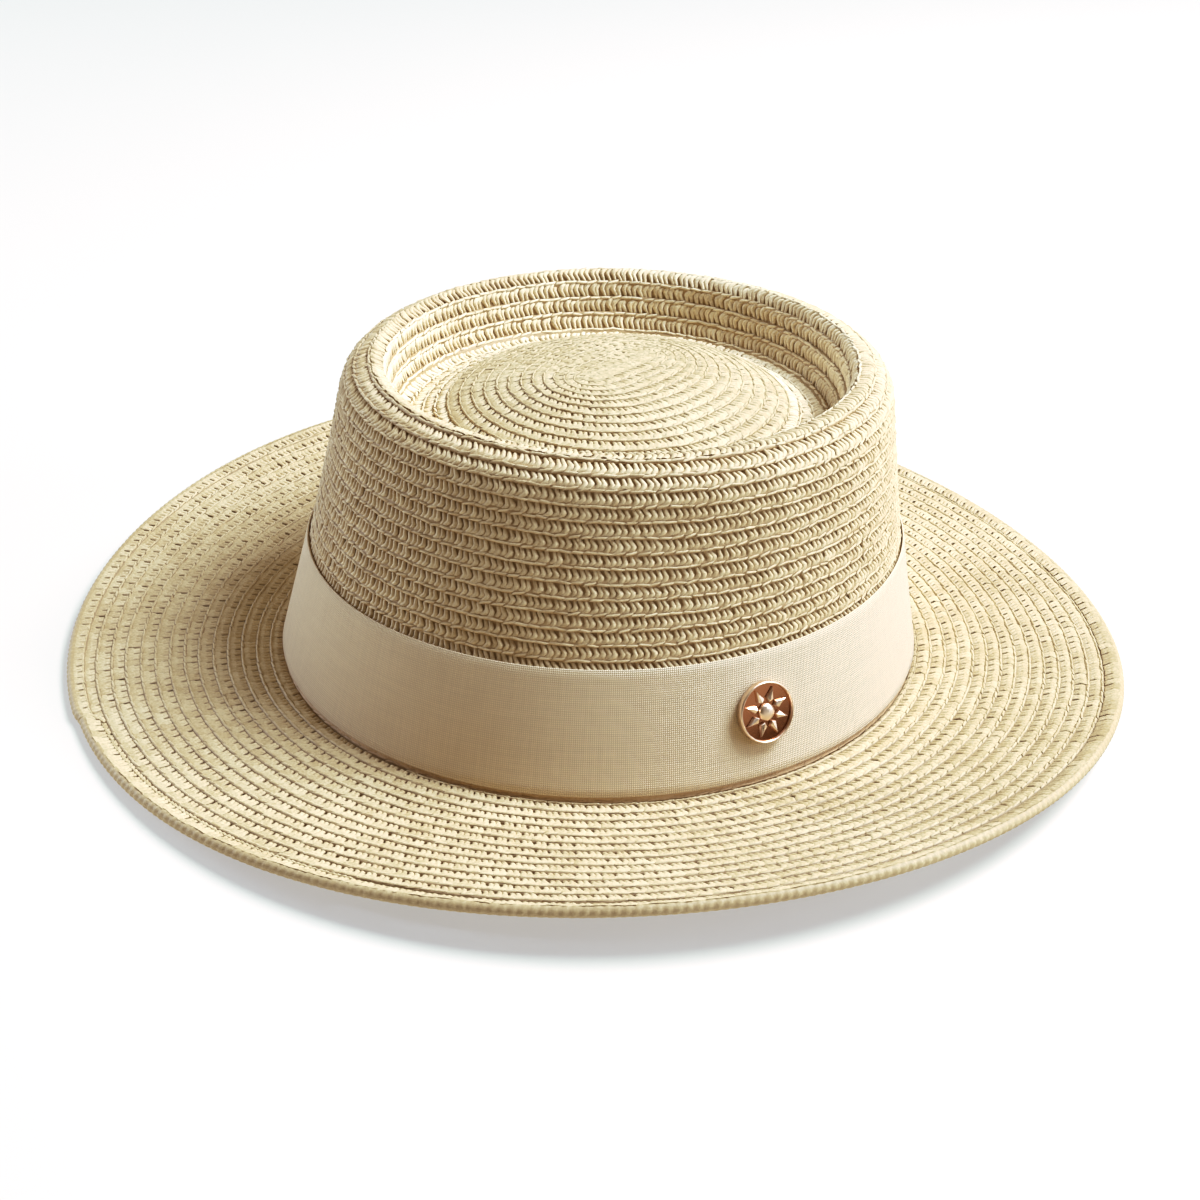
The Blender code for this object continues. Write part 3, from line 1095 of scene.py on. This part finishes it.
def ribbonPoint(turn, height, outward):
    slow, quick = ribbon["waveRates"]
    wave = math.sin(slow * turn + height * ribbon["waveSlant"]) + math.sin(quick * turn + ribbon["waveShift"])
    return wallPoint(turn, height, outward + ribbon["wave"] * wave / 2.0)


def clothLoop(low, high, outward, thickness):  # height and place outwards, once round the cloth's section
    rows = ribbon["rows"]
    heights = [low + (high - low) * number / rows for number in range(1, rows)]
    corner, near, deep = (thickness * share for share in ribbon["rounding"])
    back = outward - thickness
    return [
        (low + corner, back), (low, outward - deep), (low, outward - near), (low + corner, outward),
        *((height, outward) for height in heights),
        (high - corner, outward), (high, outward - near), (high, outward - deep), (high - corner, back),
        *((height, back) for height in reversed(heights)),
    ]


def clothSheet(name, low, high, turns, outward, thickness, closed):  # a thin, rounded sheet on the wall
    loop = clothLoop(low, high, outward, thickness)
    points = [ribbonPoint(turn, height, out) for turn in turns for height, out in loop]
    middles = [ribbonPoint(turn, (low + high) / 2.0, outward) for turn in turns]
    lengths = [0.0]
    for before, here in zip(middles, middles[1:]):
        lengths.append(lengths[-1] + (here - before).length)
    lengths.append(lengths[-1] + (middles[-1] - middles[0]).length)
    scale = ribbon["uvScale"]
    wide = len(loop)
    count = len(turns)
    faces = []
    uvs = []
    for number in range(count if closed else count - 1):
        here = number * wide
        after = (number + 1) % count * wide
        for row in range(wide):
            above = (row + 1) % wide
            faces.append((here + row, after + row, after + above, here + above))
            corners = ((number, row), (number + 1, row), (number + 1, above), (number, above))
            uvs += [(lengths[place] * scale, loop[corner][0] * scale) for place, corner in corners]
    if not closed:
        faces.append(tuple(range(wide)))
        faces.append(tuple(reversed(range((count - 1) * wide, count * wide))))
        uvs += [(0.0, height * scale) for height, out in loop]
        uvs += [(lengths[count - 1] * scale, height * scale) for height, out in reversed(loop)]
    return addObject(name, smoothMesh(name, points, faces, "clothUV", uvs))


ribbonFinish = {
    "colour": (0.745, 0.60, 0.40, 1.0),
    "thread": 0.54,
    "contrast": 0.22,
    "roughness": 0.72,
    "unevenness": ((0.05, 1.3, 1.0), (1.3, 0.05, 1.0)),  # noise drawn out along the cloth and up it
    "crossing": 2.2,
    "shadeRange": (0.9, 3.3),
    "shadeDepth": (-1.0, 0.6),
    "bump": 0.55,
    "bumpDepth": 0.12 * mm,
    "sheen": 0.15,
    "sheenRoughness": 0.4,
}


def weaveGroup():
    group, given, taken = shaderGroup(
        "plainWeave",
        (
            ("Cloth", "NodeSocketVector", None),
            ("Thread", "NodeSocketFloat", 0.5),
            ("Colour", "NodeSocketColor", (0.8, 0.7, 0.6, 1.0)),
            ("Contrast", "NodeSocketFloat", 0.2),
        ),
        (("Colour", "NodeSocketColor"), ("Height", "NodeSocketFloat")),
    )
    size = addNode(group, "ShaderNodeCombineXYZ", {axis: given["Thread"] for axis in "XYZ"}).outputs[0]
    threads = vectorNode(group, "DIVIDE", given["Cloth"], size)
    split = addNode(group, "ShaderNodeSeparateXYZ", {0: threads}).outputs
    ridges = []
    for axis in "XY":
        wave = mathNode(group, "SINE", mathNode(group, "MULTIPLY", split[axis], math.pi))
        ridges.append(mathNode(group, "ABSOLUTE", wave))
    uneven = []
    for stretch in ribbonFinish["unevenness"]:
        drawn = vectorNode(group, "MULTIPLY", given["Cloth"], stretch)
        uneven.append(noiseNode(group, drawn, 1.0, 3.0))
    crossing = mathNode(group, "MULTIPLY", *ridges)
    flaws = mathNode(group, "ADD", *uneven)
    height = mathNode(group, "MULTIPLY_ADD", crossing, ribbonFinish["crossing"], flaws)
    # The cloth is darker where its height is low: painted shade in the grooves between the threads, mixed
    # with the threads' own uneven tone.
    shade = mapNode(group, height, ribbonFinish["shadeRange"], ribbonFinish["shadeDepth"])
    tone = mathNode(group, "MULTIPLY_ADD", shade, given["Contrast"], 1.0)
    feed(group, taken, {"Colour": scaledVector(group, given["Colour"], tone), "Height": height})
    return group


def ribbonMaterial(group):
    material, tree, shader = newMaterial("ribbonWeave", ribbonFinish["roughness"])
    weave = addNode(tree, "ShaderNodeGroup", node_tree=group)
    feed(tree, weave, {
        "Thread": ribbonFinish["thread"],
        "Colour": ribbonFinish["colour"],
        "Contrast": ribbonFinish["contrast"],
        "Cloth": addNode(tree, "ShaderNodeUVMap", uv_map="clothUV").outputs["UV"],
    })
    feed(tree, shader, {
        "Base Color": weave.outputs["Colour"],
        "Normal": bumpNode(tree, weave.outputs["Height"], ribbonFinish["bump"], ribbonFinish["bumpDepth"]),
        "Sheen Weight": ribbonFinish["sheen"],
        "Sheen Roughness": ribbonFinish["sheenRoughness"],
    })
    return material


ribbonWeave = ribbonMaterial(weaveGroup())
hatTurns = [fullTurn * number / ribbon["sides"] for number in range(ribbon["sides"])]
hatRibbon = clothSheet(
    "hatRibbon", ribbon["bottom"], ribbon["top"], hatTurns, ribbon["outer"], ribbon["thickness"], closed=True
)
lapHalf = ribbon["lapSides"] / 2.0
lapSteps = [number / lapHalf - 1.0 for number in range(ribbon["lapSides"] + 1)]
lapReach = ribbon["lapWidth"] / 2.0 / ribbon["lapRadius"]
lapTurns = [ribbon["lapTurn"] + lapReach * step for step in lapSteps]
lapTop = ribbon["top"] - ribbon["lapDrop"]
lapThickness = ribbon["lapThickness"]
lapOuter = ribbon["outer"] + lapThickness
ribbonLap = clothSheet("ribbonLap", ribbon["bottom"], lapTop, lapTurns, lapOuter, lapThickness, closed=False)
for item in (hatRibbon, ribbonLap):
    item.data.materials.append(ribbonWeave)
    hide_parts("hat_band")
    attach(item, "root")
print("ribbon ready")


# Badge: ring, polished floor and a plain eight-ray sun
badge = {
    "turn": math.radians(-20.2),
    "height": 20.2 * mm,
    "face": (0.9 * mm, 0.3 * mm),  # from the crown's wall to the band's face: cloth and gap
    "gap": 0.3 * mm,
    "back": 7.9,  # millimetres from here on
    "ring": (  # radius and height
        (8.0, 0.0), (8.3, 0.3), (8.3, 1.8), (8.22, 2.05),
        (8.02, 2.2), (7.82, 2.12), (7.68, 1.9), (7.64, 1.15),
    ),
    "floor": ((7.66, 1.2), (6.0, 1.14), (4.0, 1.08), (2.0, 1.05), (0.0, 1.04)),
    "boss": ((2.35, 1.0), (2.3, 1.65), (2.05, 1.95), (1.5, 2.15), (0.8, 2.25), (0.0, 2.28)),
    "sides": 96,
    "rays": 8,
    "ray": (2.65, 3.7, 1.2, 7.15),  # where it starts, where it is widest, half width there, where it ends
    "rayLevels": (  # in at the start, share of the width, in at the end, height
        (0.0, 1.0, 0.0, 1.0),
        (0.15, 0.78, 0.5, 1.8),
    ),
    "rayRidge": (0.5, 1.4, 2.05),  # in at the start, in at the end, height
    "rayFaces": (
        (0, 4, 5, 1), (1, 5, 6, 2), (2, 6, 7, 3), (3, 7, 4, 0),
        (4, 8, 5), (5, 8, 9, 6), (6, 9, 7), (7, 9, 8, 4),
    ),
}
metals = {  # colour, roughness, scratches
    "roseGold": ((0.96, 0.76, 0.58), 0.3, 0.2),
    "darkCopper": ((0.34, 0.14, 0.065), 0.16, 0.15),
    "pinSteel": ((0.62, 0.62, 0.62), 0.3, 0.3),
}
metalFinish = {"noiseScale": 900.0, "worn": 0.88, "roughRange": (0.7, 1.4), "bumpDepth": 0.02 * mm}


def badgeFrame():
    outward = sum(badge["face"])
    aside = 0.01  # radians
    here = wallPoint(badge["turn"], badge["height"], outward)
    along = wallPoint(badge["turn"] + aside, badge["height"], outward) - here
    up = wallPoint(badge["turn"], badge["height"] + mm, outward) - here
    out = along.cross(up).normalized()
    up = out.cross(along).normalized()
    placed = Matrix((up.cross(out), up, out)).transposed().to_4x4()
    placed.translation = here + out * badge["gap"]
    return placed


def turned(outline, sides):  # points and faces of a turned shape
    points = []
    faces = []
    for radius, height in outline:
        for number in range(sides):
            angle = fullTurn * number / sides
            points.append(Vector((radius * math.cos(angle), radius * math.sin(angle), height)))
    for low in range(0, (len(outline) - 1) * sides, sides):
        high = low + sides
        for number in range(sides):
            after = (number + 1) % sides
            faces.append((low + number, low + after, high + after, high + number))
    return points, faces


def rayPoints(number):
    start, middle, half, end = badge["ray"]
    local = []
    for startIn, width, endIn, height in badge["rayLevels"]:
        side = half * width
        local += [(start + startIn, 0.0, height), (middle, side, height)]
        local += [(end - endIn, 0.0, height), (middle, -side, height)]
    startIn, endIn, height = badge["rayRidge"]
    local += [(start + startIn, 0.0, height), (end - endIn, 0.0, height)]
    turnBy = Matrix.Rotation(fullTurn * number / badge["rays"] + math.pi / badge["rays"], 3, "Z")
    return [turnBy @ Vector(point) for point in local], badge["rayFaces"]


def makeBadge(floorMaterial, goldMaterial):
    points = []
    faces = []
    marks = []
    smooth = []

    def add(newPoints, newFaces, mark, soft):
        start = len(points)
        points.extend(newPoints)
        for face in newFaces:
            faces.append(tuple(start + index for index in face))
            marks.append(mark)
            smooth.append(soft)

    sides = badge["sides"]
    add(*turned(badge["ring"], sides), 1, True)
    add(turned(((badge["back"], 0.0),), sides)[0], [tuple(reversed(range(sides)))], 1, False)
    add(*turned(badge["floor"], sides), 0, True)
    add(*turned(badge["boss"], sides), 1, True)
    for number in range(badge["rays"]):
        add(*rayPoints(number), 1, False)
    mesh = bpy.data.meshes.new("badgeSun")
    mesh.from_pydata([point * mm for point in points], [], faces)
    mesh.transform(badgeFrame())
    mesh.polygons.foreach_set("material_index", marks)
    mesh.polygons.foreach_set("use_smooth", smooth)
    mesh.materials.append(floorMaterial)
    mesh.materials.append(goldMaterial)
    mesh.validate()
    mesh.update()
    return addObject("badgeSun", mesh)


def metalMaterial(name):
    colour, roughness, scratches = metals[name]
    material, tree, shader = newMaterial(name, roughness, 1.0)
    noise = noiseNode(tree, objectPlace(tree), metalFinish["noiseScale"], 4.0)
    worn = [part * metalFinish["worn"] for part in colour]
    rough = [roughness * part for part in metalFinish["roughRange"]]
    feed(tree, shader, {
        "Base Color": mixNode(tree, noise, (*worn, 1.0), (*colour, 1.0)),
        "Roughness": mapNode(tree, noise, (0.0, 1.0), rough),
        "Normal": bumpNode(tree, noise, scratches, metalFinish["bumpDepth"]),
    })
    return material


roseGold, darkCopper, pinSteel = (metalMaterial(name) for name in metals)
badgeSun = makeBadge(darkCopper, roseGold)
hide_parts("badge")
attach(badgeSun, "root")
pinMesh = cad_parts["badge_pin"].data
pinMesh.materials.clear()
pinMesh.materials.append(pinSteel)
print("badge ready")


# Studio
daylight = (0.96, 1.04, 1.26)
studio = {
    "lookAt": Vector((0.0, 0.0, 10.82)) * mm,
    "distance": 605.63 * mm,
    "azimuth": 40.28,  # degrees
    "elevation": 28.70,
    "roll": 1.65,
    "lens": 61.16,
    "sensor": 36.0,
    "shift": 0.0016,
    "lights": (  # name, azimuth, elevation, distance, size, power, colour
        ("window", 142.0, 55.5, 1.6, 0.85, 40.0, daylight),
        ("left", -72.0, 12.0, 1.8, 1.0, 20.5, daylight),
        ("right", 120.0, 20.0, 1.8, 0.9, 9.0, daylight),
        ("overhead", 120.0, 80.0, 1.8, 2.0, 5.0, (1.0, 1.0, 1.0)),
    ),
    "floorSize": 40.0,  # half of its side
    "floorRoughness": 0.9,
    "floorColour": (0.45, 0.42, 0.36, 1.0),
    "floorGlow": ((1.0, 0.975, 0.96, 1.0), 0.385),
    "surroundings": ((1.0, 0.74, 0.40, 1.0), 0.09),
    "grade": (  # red, green and blue: value before and after
        (),
        ((0.20, 0.184), (0.45, 0.47), (0.70, 0.765)),
        ((0.10, 0.080), (0.30, 0.282), (0.50, 0.572), (0.75, 0.818)),
    ),
}


def placeAimed(name, data, azimuth, elevation, distance, centre, roll=0.0):  # looks at the centre
    azimuth, elevation = math.radians(azimuth), math.radians(elevation)
    flat = math.cos(elevation)
    away = Vector((math.sin(azimuth) * flat, -math.cos(azimuth) * flat, math.sin(elevation)))
    aim = (-away).to_track_quat("-Z", "Y").to_matrix().to_4x4()
    item = addObject(name, data)
    item.matrix_world = Matrix.Translation(centre + away * distance) @ aim @ Matrix.Rotation(roll, 4, "Z")
    return item


def makeCamera():
    data = bpy.data.cameras.new("camera")
    data.lens = studio["lens"]
    data.sensor_width = studio["sensor"]
    data.shift_x = studio["shift"]
    bpy.context.scene.camera = placeAimed(
        "camera", data, studio["azimuth"], studio["elevation"], studio["distance"], studio["lookAt"],
        math.radians(studio["roll"]),
    )


def makeFloor():
    size = studio["floorSize"]
    mesh = bpy.data.meshes.new("floor")
    corners = [(-size, -size, 0), (size, -size, 0), (size, size, 0), (-size, size, 0)]
    mesh.from_pydata(corners, [], [(0, 1, 2, 3)])
    floor = addObject("floor", mesh)
    material, tree, shader = newMaterial("paleFloor", studio["floorRoughness"])
    glow, strength = studio["floorGlow"]
    feed(tree, shader, {
        "Base Color": studio["floorColour"],
        "Emission Color": glow,
        "Emission Strength": strength,
    })
    floor.data.materials.append(material)


def addLight(name, azimuth, elevation, distance, size, power, colour):
    data = bpy.data.lights.new(name, "AREA")
    data.shape = "DISK"
    data.size = size
    data.energy = power
    data.color = colour
    placeAimed(name, data, azimuth, elevation, distance, Vector((0.0, 0.0, 0.0)))


def makeSurroundings():
    world = bpy.data.worlds.new("studio")
    bpy.context.scene.world = world
    world.use_nodes = True
    colour, strength = studio["surroundings"]
    feed(world.node_tree, world.node_tree.nodes["Background"], {"Color": colour, "Strength": strength})


def gradeColours():  # shade a little warmer and light a little cooler
    view = bpy.context.scene.view_settings
    view.view_transform = "Standard"
    view.use_curve_mapping = True
    for channel, points in enumerate(studio["grade"]):
        for before, after in points:
            view.curve_mapping.curves[channel].points.new(before, after)
    view.curve_mapping.update()


makeCamera()
makeFloor()
makeSurroundings()
for light in studio["lights"]:
    addLight(*light)
gradeColours()
print("studio ready")
